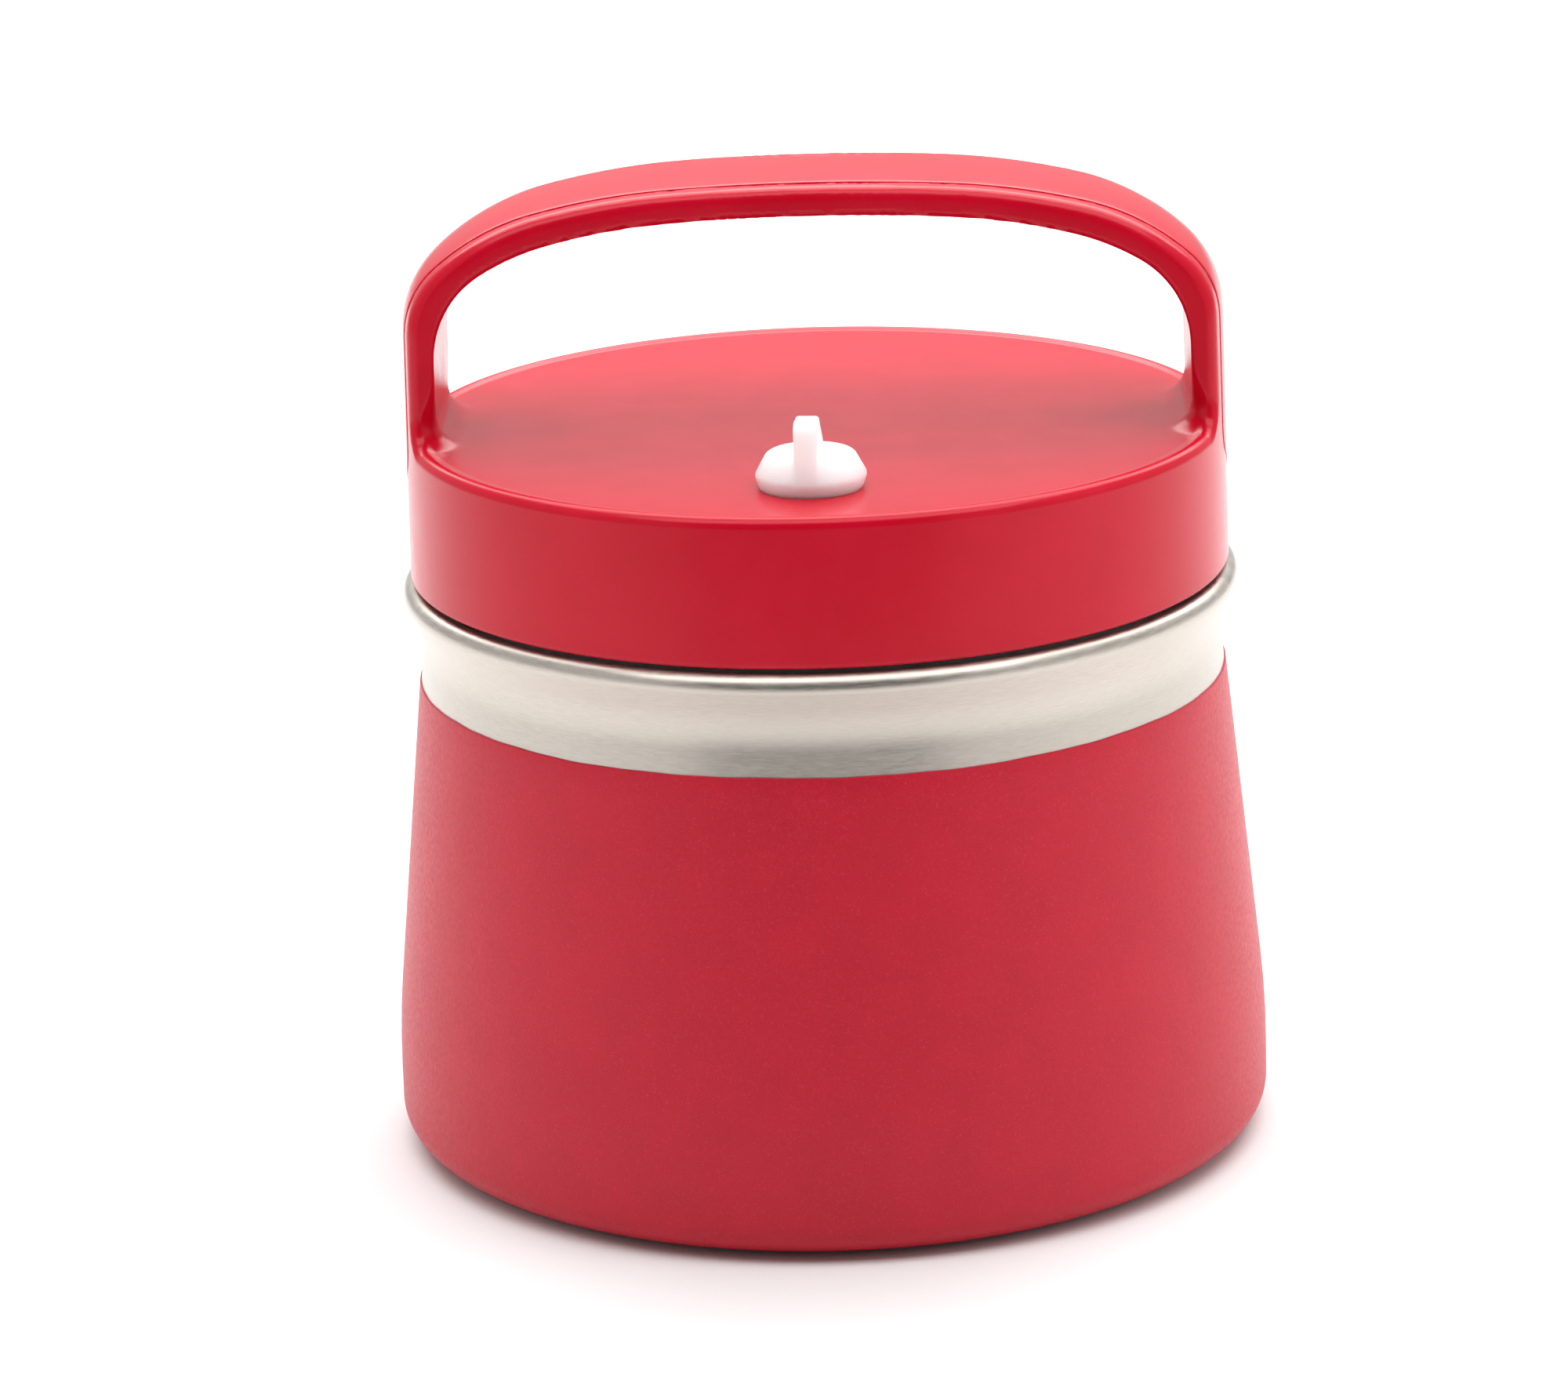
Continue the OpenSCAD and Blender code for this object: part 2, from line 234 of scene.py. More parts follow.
def make(name, verts, faces, sharp=35):
    """A mesh object from points in mm."""
    mesh = bpy.data.meshes.new(name)
    mesh.from_pydata((np.asarray(verts) * MM).tolist(), [], [list(f) for f in faces])
    mesh.validate()
    mesh.update()
    obj = bpy.data.objects.new(name, mesh)
    bpy.context.scene.collection.objects.link(obj)
    mesh.polygons.foreach_set("use_smooth", [True] * len(mesh.polygons))
    mesh.set_sharp_from_angle(angle=math.radians(sharp))
    return obj


def lathe(name, pts, segments=256, shift=None, sharp=35):
    """The closed outline pts turned round Z. shift(r, z, angle) may return the moved r and z."""
    pts = np.array([p for i, p in enumerate(pts) if np.linalg.norm(p - np.asarray(pts[i - 1])) > 1e-4])
    n = len(pts)
    ang = np.arange(segments) * TAU / segments
    axis = pts[:, 0] < 1e-6
    r = np.repeat(pts[:, 0][None], segments, 0)
    z = np.repeat(pts[:, 1][None], segments, 0)
    if shift is not None:
        r, z = shift(r, z, np.repeat(ang[:, None], n, 1))
    ring = np.stack([r * np.cos(ang)[:, None], r * np.sin(ang)[:, None], z], -1)
    index = np.arange(segments * n).reshape(segments, n)
    index[:, axis] = index[0, axis]
    verts = ring.reshape(-1, 3)
    faces = []
    area = sum(a[0] * b[1] - b[0] * a[1] for a, b in zip(pts, np.roll(pts, -1, 0)))
    for i in range(n):
        j = (i + 1) % n
        if axis[i] and axis[j]:
            continue
        a, b = index[:, i], index[:, j]
        c, d = np.roll(b, -1), np.roll(a, -1)
        quad = np.stack([a, d, c, b] if area > 0 else [a, b, c, d], 1)
        faces += [f for f in (list(dict.fromkeys(q)) for q in quad.tolist()) if len(f) > 2]
    # A point on the axis is shared by all segments, and its copies go
    used = np.unique(np.concatenate(faces))
    remap = np.zeros(len(verts), int)
    remap[used] = np.arange(len(used))
    return make(name, verts[used], [remap[f].tolist() for f in faces], sharp)


NEWTON_STEPS = 3


def surface_net(field, axes, warp=None):
    """Closed surface where field is zero, on a grid that warp may bend.

    Each cell that the surface passes gets one vertex, which newton() then moves onto the surface.
    """
    shape = tuple(len(a) for a in axes)
    grid = np.stack(np.meshgrid(*axes, indexing="ij"), -1).reshape(-1, 3)
    if warp is not None:
        grid = warp(grid)
    value = field(grid)
    inside = (value < 0).reshape(shape)
    cell_shape = tuple(s - 1 for s in shape)
    corners = [(i, j, k) for i in (0, 1) for j in (0, 1) for k in (0, 1)]
    total = sum(inside[i:i + cell_shape[0], j:j + cell_shape[1], k:k + cell_shape[2]].astype(np.int8)
                for i, j, k in corners)
    mixed = (total > 0) & (total < 8)
    cells = np.argwhere(mixed)
    index = -np.ones(cell_shape, np.int64)
    index[mixed] = np.arange(len(cells))
    flat = {c: np.ravel_multi_index((cells + np.array(c)).T, shape) for c in corners}
    point = np.zeros((len(cells), 3))
    count = np.zeros(len(cells))
    for c in corners:
        for axis in range(3):
            if c[axis] == 0:
                d = tuple(v + (k == axis) for k, v in enumerate(c))
                a, b = value[flat[c]], value[flat[d]]
                cross = (a < 0) != (b < 0)
                t = (a[cross] / (a[cross] - b[cross]))[:, None]
                point[cross] += grid[flat[c][cross]] * (1 - t) + grid[flat[d][cross]] * t
                count[cross] += 1
    point /= count[:, None]
    for _ in range(NEWTON_STEPS):
        point -= newton(field, point)
    faces = []
    for axis in range(3):
        u, v = [(1, 2), (2, 0), (0, 1)][axis]
        lo = [slice(None)] * 3
        hi = [slice(None)] * 3
        lo[axis], hi[axis] = slice(0, -1), slice(1, None)
        a, b = inside[tuple(lo)], inside[tuple(hi)]
        edge = np.argwhere(a != b)
        keep = ((edge[:, u] > 0) & (edge[:, v] > 0)
                & (edge[:, u] < shape[u] - 1) & (edge[:, v] < shape[v] - 1))
        edge = edge[keep]
        quad = []
        for du, dv in ((-1, -1), (0, -1), (0, 0), (-1, 0)):
            e = edge.copy()
            e[:, u] += du
            e[:, v] += dv
            quad.append(index[tuple(e.T)])
        quad = np.stack(quad, 1)
        flip = ~a[tuple(edge.T)]
        quad[flip] = quad[flip][:, ::-1]
        faces.append(quad)
    return point, np.concatenate(faces)


def newton(field, p, h=0.01, most=0.6, least_slope=0.2):
    """The step from each point towards the field's zero, along its slope."""
    d = field(p)
    g = np.stack([field(p + e) - field(p - e) for e in np.eye(3) * h], 1) / (2 * h)
    return np.clip(d, -most, most)[:, None] * g / np.maximum((g * g).sum(1), least_slope)[:, None]


def round_or(a, b, r):
    """Union of two distance fields with a fillet of radius r."""
    return np.maximum(r, np.minimum(a, b)) - np.hypot(np.maximum(r - a, 0), np.maximum(r - b, 0))


def round_and(a, b, r):
    """Intersection of two distance fields with its edge rounded to radius r."""
    return np.minimum(-r, np.maximum(a, b)) + np.hypot(np.maximum(r + a, 0), np.maximum(r + b, 0))


def smooth(x):
    x = np.clip(x, 0, 1)
    return x * x * (3 - 2 * x)


def polygon_distance(pts, x, y):
    """Signed distance in the plane to a closed outline."""
    pts = np.asarray(pts, float)
    best = np.full(x.shape, 1e18)
    inside = np.zeros(x.shape, bool)
    for a, b in zip(pts, np.roll(pts, -1, 0)):
        e = b - a
        n = float(e @ e)
        if n < 1e-12:
            continue
        wx, wy = x - a[0], y - a[1]
        t = np.clip((wx * e[0] + wy * e[1]) / n, 0, 1)
        best = np.minimum(best, (wx - e[0] * t) ** 2 + (wy - e[1] * t) ** 2)
        cross = (a[1] > y) != (b[1] > y)
        if abs(e[1]) > 1e-12:
            inside ^= cross & (x < a[0] + e[0] * (y - a[1]) / e[1])
    return np.where(inside, -1, 1) * np.sqrt(best)


# ---- Jar ----

SHELL_PATH = [(PLATE_R, BASE_Z, 0), (STEEL_R, BASE_Z, BASE_ROUND - PAINT_T), SHOULDER,
              (NECK_R, NECK_Z, NECK_ROUND), (FLARE_R, LIP_TOP, LIP_ROUND),
              (BEAD_IN, LIP_TOP, LIP_ROUND), (BEAD_IN, LAP_Z, 0)]


def cone_r(z):
    """Radius of the shell's straight cone at height z."""
    return STEEL_R + (NECK_R - STEEL_R) * (z - SHOULDER[1]) / (NECK_Z - SHOULDER[1])


def outer_shell():
    """The spun shell with its bare collar and flared, rolled lip."""
    return lathe("jar_shell", resampled(sheet(SHELL_PATH, 0, STEEL_T), 6), 288)


def powder_coat():
    """The coat on the shell. Its top edge is rounded and wavers a little, as a masked edge does."""
    path = [(PLATE_R + 2.5, BASE_Z, 0), SHELL_PATH[1], SHELL_PATH[2], (cone_r(PAINT_LINE), PAINT_LINE, 0)]
    outer = rounded(moved(path, -PAINT_T))
    inner = rounded(moved(path, -0.01))[::-1]
    r, z = outer[-1]
    edge_round = 0.22
    edge = [np.array((r + edge_round * (math.cos(t) - 1), z + edge_round * (math.sin(t) - 1)))
            for t in np.radians([0, 25, 50, 75, 90])]
    pts = outer[:-1] + edge + inner

    def waver(r, z, a):
        near = smooth((z - (PAINT_LINE - 2)) / 2)
        wave = 0.05 * np.sin(7 * a + 1) + 0.04 * np.sin(19 * a + 2.2) + 0.025 * np.sin(47 * a + 0.4)
        return r, z + near * (wave - 0.1)

    return lathe("jar_paint", resampled(pts, 4), 384, waver)


RIDGE_FADE = 26                      # degrees over which a ridge's end sinks into its wall
RIDGE_FOOT = 1.65                    # half of a ridge's width at its foot
RIDGE_FLANK = 1.1                    # height over which its flank rises


def ridge(z, a, z0, span):
    """How far the thread's ridges stand out at height z and angle a. They run span degrees from z0."""
    out = np.zeros_like(z)
    for s in range(STARTS):
        turn = (a - s * TAU / STARTS) % TAU
        share = turn / math.radians(span)
        fade = smooth(np.minimum(share, 1 - share) * span / RIDGE_FADE)
        off = np.abs(z - z0 - LEAD * turn / TAU)
        flank = smooth((RIDGE_FOOT - off) / RIDGE_FLANK)
        out = np.maximum(out, RIDGE_H * fade * flank * (share <= 1))
    return out


def inner_liner():
    """The food-side wall with its rolled thread and the ledge that the gasket sits on."""
    thread_low, thread_high = LEDGE_TOP - 1.5, LEDGE_TOP + 13
    path = [(BEAD_IN - STEEL_T, LIP_TOP - LIP_ROUND, 0), (BEAD_IN - STEEL_T, LAP_Z - 0.5, 1.5),
            (LINER_R, LAP_Z - 2.3, 1.5), (LINER_R, LEDGE_TOP, 1.5), (LEDGE_IN, LEDGE_Z, 1.5),
            (LEDGE_IN, LEDGE_Z - 4.6, 6), (STEEL_R - 5.9, FLOOR_Z, 12), (LINER_HOLE_R, FLOOR_Z, 0)]
    pts = resampled(resampled(sheet(path, 0, STEEL_T), 0.35, thread_low, thread_high), 5)

    def rolled(r, z, a):
        zone = smooth(z - (thread_low - 0.1)) * smooth(thread_high - 0.4 - z)
        return r - zone * ridge(z, a, THREAD_Z, LINER_SPAN), z

    return lathe("jar_liner", pts, 288, rolled, 60)


def liner_bottom():
    """The disc welded into the liner, raised a little in the middle."""
    path = [(LINER_HOLE_R, FLOOR_Z, 0), (46, FLOOR_Z, 20), (34, FLOOR_Z + 1, 20), (0, FLOOR_Z + 1, 0)]
    return lathe("jar_liner_bottom", sheet(path, 0, STEEL_T), 192)


def vacuum_bottom():
    """The plate that closes the vacuum."""
    path = [(PLATE_R, BASE_Z, 0), (PLATE_R, PLATE_Z, 2), (0, PLATE_Z, 0)]
    return lathe("jar_vacuum_bottom", sheet(path, 0, STEEL_T), 192)


def base_cap():
    """The pressed cap, with two rings pressed up into it inside the foot pad."""
    r, bend = PLATE_R - STEEL_T, 1.6
    rings = [(44, 0.0), (42.5, 0.55), (40, 0.55), (38.5, 0.0),
             (14, 0.0), (12.8, 0.4), (10.5, 0.4), (9.3, 0.0)]
    path = [(r, BASE_Z + 0.4, 0), (r, CAP_Z, bend)]
    path += [(q, CAP_Z + up, bend) for q, up in rings] + [(0, CAP_Z, 0)]
    return lathe("jar_base_cap", sheet(path, 0, STEEL_T), 256)


def foot_pad():
    """The rubber ring, with three grooves round its underside."""
    inner, outer, top = 48, 62, CAP_Z - STEEL_T - 0.02
    under = [(inner, 0, 0.8)]
    for r in (51.5, 55, 58.5):
        under += [(r - 0.8, 0, 0.25), (r - 0.45, 0.5, 0.2), (r + 0.45, 0.5, 0.2), (r + 0.8, 0, 0.25)]
    return lathe("jar_foot_pad", outline(under + [(outer, 0, 1), (outer, top, 0.4), (inner, top, 0.4)]), 256)


# ---- Lid ----

def bend_arcs(crest_z, bends, inset):
    """Centre, radius and final slope of each arc of the handle's outline, from the crest down to the leg."""
    at, slope, arcs = np.array([0.0, crest_z]), 0.0, []
    for radius, end in bends:
        centre = at - radius * np.array([math.sin(slope), math.cos(slope)])
        slope = math.radians(end)
        at = centre + radius * np.array([math.sin(slope), math.cos(slope)])
        arcs.append((centre, radius, slope))
    leg = math.pi / 2 - DRAFT
    reach = (side_r(at[1]) - inset - at[0]) / (math.cos(slope) - math.sin(slope) * math.tan(DRAFT))
    radius = reach / math.tan((leg - slope) / 2)
    arcs.append((at - radius * np.array([math.sin(slope), math.cos(slope)]), radius, leg))
    return arcs


def bend_distance(arcs, inset, x, z):
    """Distance in the plane to those arcs, which run on down the lid's side moved in by inset."""
    d = (x - LID_R + inset) * math.cos(DRAFT) + (z - LID_Z) * math.sin(DRAFT)
    for centre, radius, end in reversed(arcs):
        px, pz = x - centre[0], z - centre[1]
        d = np.where(px * math.cos(end) < pz * math.sin(end), np.hypot(px, pz) - radius, d)
    return d


OUTER_ARCS = bend_arcs(CREST_Z, OUTER_BENDS, 0)
INNER_ARCS = bend_arcs(CREST_Z - HANDLE_T, INNER_BENDS, LEG_T)


def handle_outer(r, z):
    """Distance to the handle's outer face, which is turned round Z as the lid's side is."""
    return bend_distance(OUTER_ARCS, 0, r, z)


TONGUE_BASE_Z = TONGUE_Z + TONGUE_LEN
STRAP_SHAPE = outline([(0, TONGUE_Z, 1.2), (STRAP_W / 2, TONGUE_BASE_Z, 6), (STRAP_W / 2, CREST_Z, 0),
                       (-STRAP_W / 2, CREST_Z, 0), (-STRAP_W / 2, TONGUE_BASE_Z, 6)])
STRAP_EDGE = sorted((float(p[1]), float(p[0])) for p in STRAP_SHAPE if p[0] >= 0)


def strap_half(z):
    """Half the strap's width at height z."""
    zs, ws = zip(*STRAP_EDGE)
    return np.interp(z, zs, ws, left=-1.0)


def lid_field(p):
    """Signed distance to the lid's shell and handle, about right near the surface."""
    x, y, z = p.T
    r = np.hypot(x, y)
    envelope = handle_outer(r, z)
    side = (r - LID_R) * math.cos(DRAFT) + (z - LID_Z) * math.sin(DRAFT)
    top = z - LID_TOP - (RIM_Z - LID_TOP) * smooth((r - BEAD_IN_R) / BEAD_SLOPE_W)
    cap = round_and(side, top, RIM_ROUND)
    loop = round_and(np.maximum(envelope, LID_Z + 0.5 - z), np.abs(y) - HANDLE_W / 2, LOOP_EDGE)
    inner_edge = INNER_EDGE + (FOOT_EDGE - INNER_EDGE) * smooth((LID_TOP + FOOT_H - z) / FOOT_H)
    loop = round_and(loop, -bend_distance(INNER_ARCS, LEG_T, np.abs(x), z), inner_edge)
    d = np.maximum(round_or(cap, loop, ROOT_FILLET), envelope)
    channel = np.maximum(-envelope - STRAP_DEPTH - STRAP_SEAM, np.abs(y) - strap_half(z) + STRAP_LAP)
    d = np.maximum(d, -channel)
    d = round_and(d, LID_Z - z, SKIRT_EDGE)
    cavity = round_and(r - SKIRT_IN, z - CEILING_Z, 2.5)
    d = round_and(d, -cavity, 0.35)
    return np.maximum(d, VENT_BORE - np.hypot(x, y + VENT_Y))


def disc_warp(p):
    """Bends a square grid so that its square rings become circles."""
    u, v = p[:, 0], p[:, 1]
    major = np.maximum(np.abs(u), np.abs(v))
    wide = np.abs(u) >= np.abs(v)
    with np.errstate(divide="ignore", invalid="ignore"):
        a = np.where(wide, v / np.where(u == 0, 1, u), u / np.where(v == 0, 1, v)) * math.pi / 4
    x = np.where(wide, np.sign(u) * major * np.cos(a), np.sign(v) * major * np.sin(a))
    y = np.where(wide, np.sign(u) * major * np.sin(a), np.sign(v) * major * np.cos(a))
    return np.stack([x, y, p[:, 2]], 1)


def steps(*spans):
    """Grid lines: each span is (start, end, step)."""
    lines = [np.arange(a, b - s / 2, s) for a, b, s in spans]
    return np.append(np.concatenate(lines), spans[-1][1])


def lid_shell():
    """The moulded lid with its handle: the grid is finest at the rim and the skirt's edge."""
    coarse = 1.0
    r = steps((0.5 * coarse, 60, coarse), (60, 64.2, 0.6), (64.2, 70.6, 0.32))
    lines = np.concatenate([-r[::-1], r])
    z = steps((LID_Z - 0.5, LID_Z + 1.5, 0.25), (LID_Z + 1.5, RIM_Z - 4, 0.8),
              (RIM_Z - 4, RIM_Z + 0.8, 0.25), (RIM_Z + 0.8, CREST_Z + 1.5, 0.8 * coarse))
    verts, faces = surface_net(lid_field, (lines, lines, z), disc_warp)
    return make("lid_cover", verts, faces, 50)


def handle_path():
    """Points and normals of the handle's outer outline in the XZ plane, from tongue's tip to tongue's tip."""
    leg_end = OUTER_ARCS[-1][0][1] + OUTER_ARCS[-1][1] * math.sin(DRAFT)
    pts, normals = [], []
    tongue_end = TONGUE_Z + 9
    heights = [np.arange(TONGUE_Z + 0.02, tongue_end, 0.3), np.arange(tongue_end, leg_end, 1.2)]
    for z in np.concatenate(heights):
        pts.append((side_r(z), z))
        normals.append((math.cos(DRAFT), math.sin(DRAFT)))
    starts = [arc[2] for arc in OUTER_ARCS[:-1]][::-1] + [0.0]
    for (centre, radius, end), start in zip(OUTER_ARCS[::-1], starts):
        n = math.ceil(radius * (end - start))
        for a in np.linspace(end, start, n + 1)[:-1]:
            normals.append((math.sin(a), math.cos(a)))
            pts.append(centre + radius * np.array(normals[-1]))
    pts, normals = np.array(pts), np.array(normals)

    def whole(half, mid):
        return np.concatenate([half * [-1, 1], [mid], half[::-1]])

    return whole(pts, (0, CREST_Z)), whole(normals, (0, 1))


def handle_strap():
    """The inlaid strip: its section follows the turned outer face and stands a little proud of it."""
    pts, normals = handle_path()
    half = np.maximum(strap_half(pts[:, 1]), 0.06)
    across = np.linspace(-1, 1, 17)
    edge_round, edge_z = 0.12, -0.12
    rows = []
    for w in half:
        e = min(edge_round, w * 0.4)
        body = max(w - STRAP_LAP - 0.2, 0.03)
        arc = [(w, edge_z), (w, STRAP_RISE * 0.3), (w - e * 0.25, STRAP_RISE * 0.8), (w - e, STRAP_RISE)]
        section = arc + [(-k * (w - e), STRAP_RISE) for k in across[1:-1]] + [(-y, h) for y, h in arc[::-1]]
        section += [(-body, edge_z), (-body, -STRAP_DEPTH), (body, -STRAP_DEPTH), (body, edge_z)]
        rows.append(section)
    y, h = np.array(rows).transpose(2, 0, 1)
    n, m = y.shape
    px, pz, nx, nz = (np.repeat(v[:, None], m, 1) for v in (*pts.T, *normals.T))
    out = h.copy()

    def at(s):
        return handle_outer(np.hypot(px + nx * s, y), pz + nz * s)

    for _ in range(12):
        slope = (at(out + 0.01) - at(out - 0.01)) / 0.02
        out = out - (at(out) - h) / np.maximum(slope, 0.3)
    verts = np.stack([px + nx * out, y, pz + nz * out], -1).reshape(-1, 3)
    idx = np.arange(n * m).reshape(n, m)
    faces = []
    for j in range(m):
        k = (j + 1) % m
        faces += np.stack([idx[:-1, j], idx[:-1, k], idx[1:, k], idx[1:, j]], 1).tolist()
    faces += [idx[0, ::-1].tolist(), idx[-1].tolist()]
    return make("lid_handle_strap", verts, faces, 40)


def lid_pan():
    """The moulded inner lid, with its thread, the gasket's groove and the vent's duct."""
    spigot, foot_r, floor_top = GROOVE_R, GROOVE_R + 1.5, PAN_Z + WALL_T
    flange_r, flange_top, groove_low = SKIRT_IN - 0.05, FLANGE_Z + WALL_T, GROOVE_TOP - GROOVE_H
    cup = [(0, PAN_Z, 0), (foot_r, PAN_Z, 0.5), (foot_r, groove_low, 0.3),
           (spigot, groove_low, 0.3), (spigot, GROOVE_TOP, 0.3), (PAN_R, GROOVE_TOP, 0.5),
           (PAN_R, FLANGE_Z, 0.8), (flange_r, FLANGE_Z, 0.4), (flange_r, flange_top, 0.4),
           (PAN_R - WALL_T, flange_top, 0.8), (PAN_R - WALL_T, GROOVE_TOP + WALL_T, 0.8),
           (spigot - WALL_T, GROOVE_TOP + WALL_T, 0.8), (spigot - WALL_T, floor_top, 1.2), (0, floor_top, 0)]
    pts = resampled(resampled(outline(cup), 0.35, GROOVE_TOP + 0.2, FLANGE_Z - 0.5), 5)

    def thread(r, z, a):
        wall = (r > PAN_R - 0.9) & (r < PAN_R + 0.1)
        return r + wall * ridge(z, a, THREAD_Z + LEAD / STARTS / 2, PAN_SPAN), z

    pan = lathe("lid_inner_pan", pts, 288, thread, 60)
    duct_in, duct_out = VENT_BORE + 0.02, VENT_BORE + WALL_T
    duct_low, duct_top = PAN_Z + 0.3, CEILING_Z - 0.05
    tube = lathe("tube", outline([(duct_in, duct_low, 0), (duct_out, duct_low, 0),
                                  (duct_out, duct_top, 0.3), (duct_in, duct_top, 0.3)]), 64)
    bore_low = PAN_Z - 5
    bore = lathe("bore", [np.array(p) for p in (
        (0, bore_low), (VENT_BORE, bore_low), (VENT_BORE, LID_TOP), (0, LID_TOP))], 64)
    for part, kind in ((tube, "UNION"), (bore, "DIFFERENCE")):
        part.location = (0, -VENT_Y * MM, 0)
        mod = pan.modifiers.new(kind, "BOOLEAN")
        mod.operation, mod.object, mod.solver = kind, part, "EXACT"
    bpy.context.view_layer.update()
    solid = bpy.data.meshes.new_from_object(pan.evaluated_get(bpy.context.evaluated_depsgraph_get()))
    pan.modifiers.clear()
    pan.data = solid
    for part in (tube, bore):
        bpy.data.objects.remove(part)
    solid.polygons.foreach_set("use_smooth", [True] * len(solid.polygons))
    solid.set_sharp_from_angle(angle=math.radians(50))
    return pan


def lid_gasket():
    """The silicone ring, with two sealing ribs round its outer face."""
    z0, z1 = GROOVE_TOP - GROOVE_H + 0.05, GROOVE_TOP - 0.05
    inner, rib_foot, rib_tip = GROOVE_R + 0.05, 61.05, 61.5
    ribs = []
    for z in (z0 + 1.0, z0 + 2.3):
        ribs += [(rib_foot, z - 0.4, 0.15), (rib_tip, z, 0.25), (rib_foot, z + 0.4, 0.15)]
    section = [(inner, z0, 0.3), (60.8, z0, 0.5)] + ribs + [(61.2, z1, 0.3), (inner, z1, 0.3)]
    return lathe("lid_seal_ring", outline(section), 256)


def vent_plug():
    """The silicone plug: a bevelled head, a stem in its bore and a pull tab with a window."""
    r0, edge_z, crown_z = 9.1, 2.2, 6.1
    crown_r, foot_r = r0 - 2.15, r0 - 0.7
    stem, stem_len = VENT_BORE - VENT_FIT, 11
    side_n = unit((crown_z - edge_z, r0 - crown_r))
    under_n = unit((edge_z, foot_r - r0))
    front, wall, top, half_w = 8.4, 1.9, VENT_TAB_H, 1.85
    tab_outer = outline([(-front, edge_z - 0.5, 0), (-front, top, 1.8), (-2.8, top, 2.4),
                         (4.8, crown_z - 1, 0), (0, crown_z - 3, 0)])
    tab_hole = outline([(wall - front, crown_z + 0.6, 0.5), (wall - front, top - wall, 0.8),
                        (-3.5, top - wall, 1), (1, crown_z + 0.6, 0.5)])
    cos, sin = math.cos(VENT_TURN), math.sin(VENT_TURN)

    def field(p):
        x, y, z = p[:, 0], p[:, 1] + VENT_Y, p[:, 2] - LID_TOP
        x, y = x * cos - y * sin, x * sin + y * cos
        r = np.hypot(x, y)
        side = (r - r0) * side_n[0] + (z - edge_z) * side_n[1]
        under = (r - r0) * under_n[0] + (z - edge_z) * under_n[1]
        head = round_and(side, z - crown_z + 0.15 * smooth((r / crown_r) ** 2), 0.8)
        head = round_and(head, under, 0.3)
        head = round_and(head, -z, 0.25)
        pin = round_and(r - stem, -stem_len - z, 0.5)
        pin = np.maximum(pin, z - 1)
        tab = round_and(polygon_distance(tab_outer, y, z), -polygon_distance(tab_hole, y, z), 0.4)
        tab = round_and(tab, np.abs(x) - half_w, 0.45)
        return np.minimum(round_or(head, tab, 0.7), pin)

    pitch = 0.27
    reach = np.arange(-r0 - 0.7, r0 + 0.8, pitch)
    heights = np.arange(LID_TOP - stem_len - 0.8, LID_TOP + top + 0.9, pitch)
    verts, faces = surface_net(field, (reach, reach - VENT_Y, heights))
    return make("vent_plug_body", verts, faces, 60)


# ---- Materials ----

RADIUS_SHARE = 0.83                  # of the radius in brushed marks, so that flat faces get them too


class Nodes:
    """Short ways to add nodes to a node tree."""

    def __init__(self, tree):
        self.tree = tree

    def node(self, kind, **props):
        n = self.tree.nodes.new(kind)
        for key, value in props.items():
            setattr(n, key, value)
        return n

    def put(self, socket, value):
        if isinstance(value, bpy.types.NodeSocket):
            self.tree.links.new(value, socket)
        else:
            socket.default_value = value

    def math(self, op, a, b=0.0):
        n = self.node("ShaderNodeMath", operation=op)
        for socket, value in zip(n.inputs, (a, b)):
            self.put(socket, value)
        return n.outputs[0]

    def span(self, value, low, high, to_low=0.0, to_high=1.0, **props):
        """value moved from low..high to to_low..to_high."""
        n = self.node("ShaderNodeMapRange", **props)
        for socket, v in zip(n.inputs, (value, low, high, to_low, to_high)):
            self.put(socket, v)
        return n.outputs["Result"]


